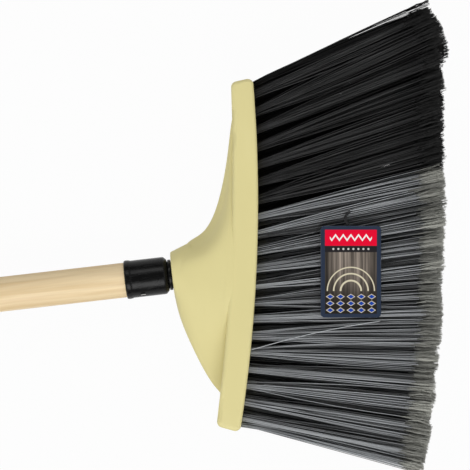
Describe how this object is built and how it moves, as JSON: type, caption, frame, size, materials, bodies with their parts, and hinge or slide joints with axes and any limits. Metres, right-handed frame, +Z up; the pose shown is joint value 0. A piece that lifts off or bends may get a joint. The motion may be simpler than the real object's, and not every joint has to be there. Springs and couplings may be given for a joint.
{
  "type": "broom",
  "caption": "Angled broom with a moulded plastic head, a fan of black and grey bristles, and a round wooden handle that screws into the head and ends in a hang loop.",
  "frame": {"origin": "on the head's flat lying face, under the handle's axis, in the middle of the rim strip", "axes": "+X along the handle towards the bristles, +Y across the head towards its black end, +Z up from the face it lies on"},
  "size_m": [1.4443, 0.3234, 0.0471],
  "materials": {
    "head_plastic": "satin",
    "black_plastic": "satin",
    "pine": "matte",
    "grey_bristle": "satin",
    "black_bristle": "satin",
    "anchor_wire": "satin",
    "nail_steel": "satin",
    "printed_card": "satin",
    "dark_string": "matte"
  },
  "bodies": {
    "head": {"head_block": "head_plastic", "tuft_anchors": "anchor_wire"},
    "brush": {"grey_tufts_row_1": "grey_bristle", "grey_tufts_row_2": "grey_bristle", "grey_tufts_row_3": "grey_bristle", "grey_tufts_row_4": "grey_bristle", "grey_tufts_row_5": "grey_bristle", "black_tufts_row_1": "black_bristle", "black_tufts_row_2": "black_bristle", "black_tufts_row_3": "black_bristle", "black_tufts_row_4": "black_bristle", "black_tufts_row_5": "black_bristle"},
    "tag": {"tag_card": "printed_card", "tag_string": "dark_string"},
    "thread": {"neck_ring": "black_plastic"},
    "handle": {"ferrule": "black_plastic", "ferrule_nails": "nail_steel", "handle_stick": "pine", "hang_cap": "black_plastic", "cap_nails": "nail_steel"}
  },
  "joints": [
    {"name": "bristle_bend", "type": "hinge", "parent": "head", "child": "brush", "pos_m": [0.00614, 0.00716, 0.023], "axis": [0.1501, 0.9887, 0], "range_deg": [-20, 20], "stiffness_Nm_per_rad": 15, "deforming": ["grey_tufts_row_1", "grey_tufts_row_2", "grey_tufts_row_3", "grey_tufts_row_4", "grey_tufts_row_5", "black_tufts_row_1", "black_tufts_row_2", "black_tufts_row_3", "black_tufts_row_4", "black_tufts_row_5"]},
    {"name": "tag_swing", "type": "hinge", "parent": "brush", "child": "tag", "pos_m": [0.07621, 0.03278, 0.044], "axis": [-0.9934, 0.1144, 0], "range_deg": [0, 120]},
    {"name": "handle_unscrew", "type": "slide", "parent": "head", "child": "thread", "axis": [-1, 0, 0], "range_m": [0, 0.027]},
    {"name": "handle_turn", "type": "hinge", "parent": "thread", "child": "handle", "pos_m": [-0.0496, 0, 0.023], "axis": [-1, 0, 0], "range_deg": [0, 2160]}
  ],
  "couplings": [
    {"joint": "handle_unscrew", "follows": "handle_turn", "m_per_rad": 0.0007162}
  ]
}
